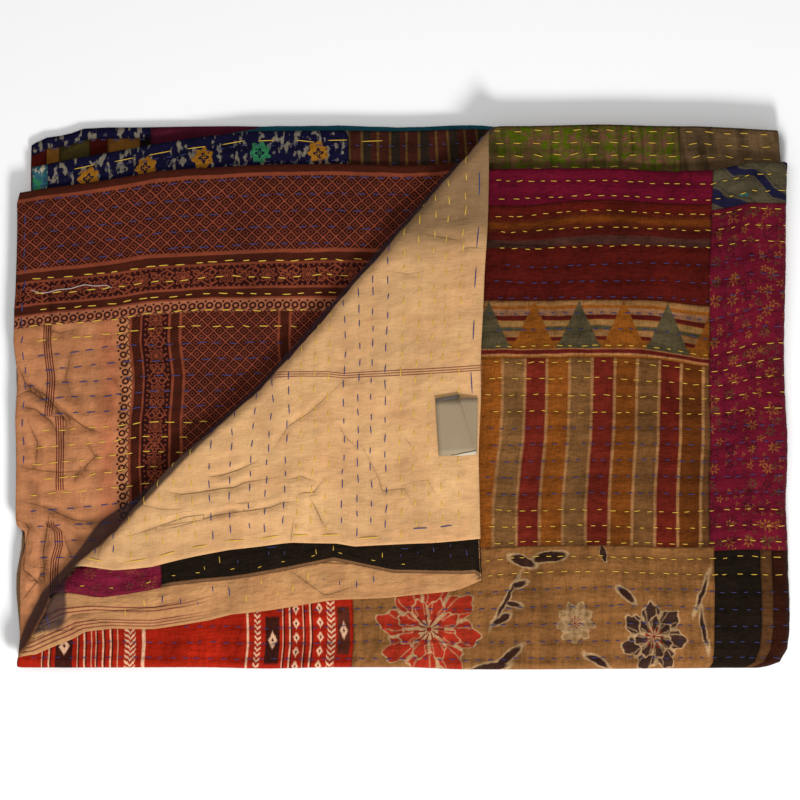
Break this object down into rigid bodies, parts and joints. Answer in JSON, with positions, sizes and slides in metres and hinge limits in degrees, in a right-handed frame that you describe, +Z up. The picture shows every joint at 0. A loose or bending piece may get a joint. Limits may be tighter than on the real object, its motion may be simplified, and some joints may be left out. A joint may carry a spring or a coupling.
{
  "type": "quilted throw",
  "caption": "Patchwork quilted throw with hand running stitches, folded flat, one corner of its upper layers turned back.",
  "frame": {"origin": "centre of the underside of the folded throw", "axes": "+X along the folded throw's long side towards its folded end, +Y across it from the folded long edge to the far edge, +Z up from the surface it lies on"},
  "size_m": [0.6361, 0.4451, 0.0315],
  "materials": {
    "quilted_cotton": "worn printed cotton patchwork with puckered hand-stitched rows",
    "satin_tag": "smooth grey satin ribbon, blank"
  },
  "bodies": {
    "root": {"throw": "quilted_cotton", "label": "satin_tag"}
  },
  "joints": []
}
